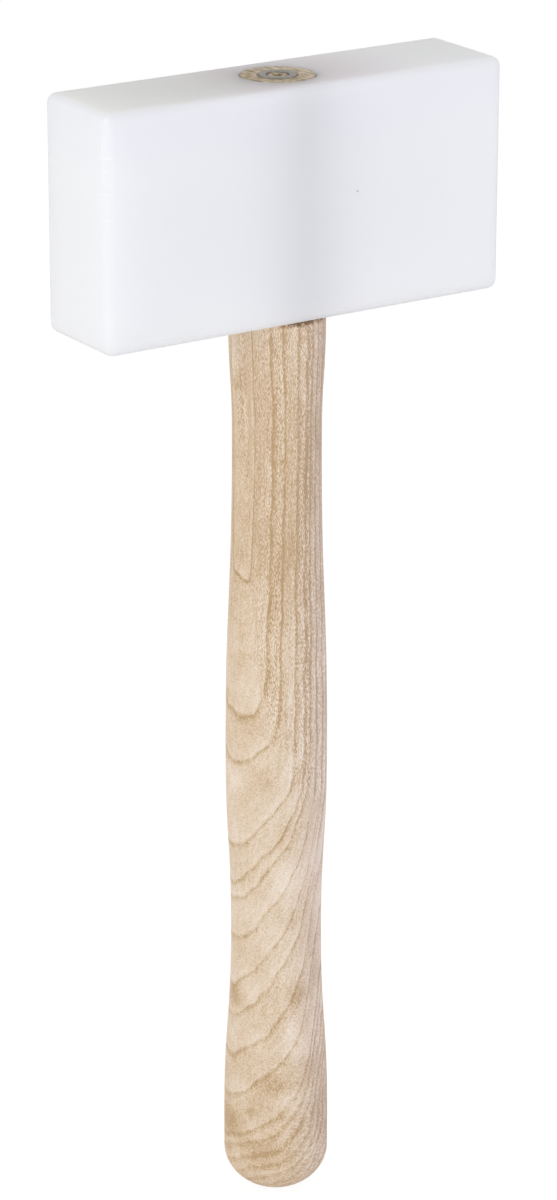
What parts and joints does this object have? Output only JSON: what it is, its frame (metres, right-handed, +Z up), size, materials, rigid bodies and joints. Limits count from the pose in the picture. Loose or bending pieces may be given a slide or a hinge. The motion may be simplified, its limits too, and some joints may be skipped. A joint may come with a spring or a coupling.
{
  "type": "tinsmith hammer",
  "caption": "Tinsmith's mallet: a rounded-edge block head of white polyethylene on a turned ash handle, whose through tenon is spread by a steel ring wedge.",
  "frame": {"origin": "lowest point of the handle's butt, on the handle's axis", "axes": "+Z up along the handle towards the head, X along the head between its two striking faces, Y through its two cheeks"},
  "size_m": [0.135, 0.034, 0.3538],
  "materials": {
    "polyethylene": "milky white, satin, slightly translucent",
    "ash": "sanded, bare",
    "steel": "dull, slightly oxidised"
  },
  "bodies": {
    "root": {"head": "polyethylene", "handle": "ash", "ring_wedge": "steel"}
  },
  "joints": []
}
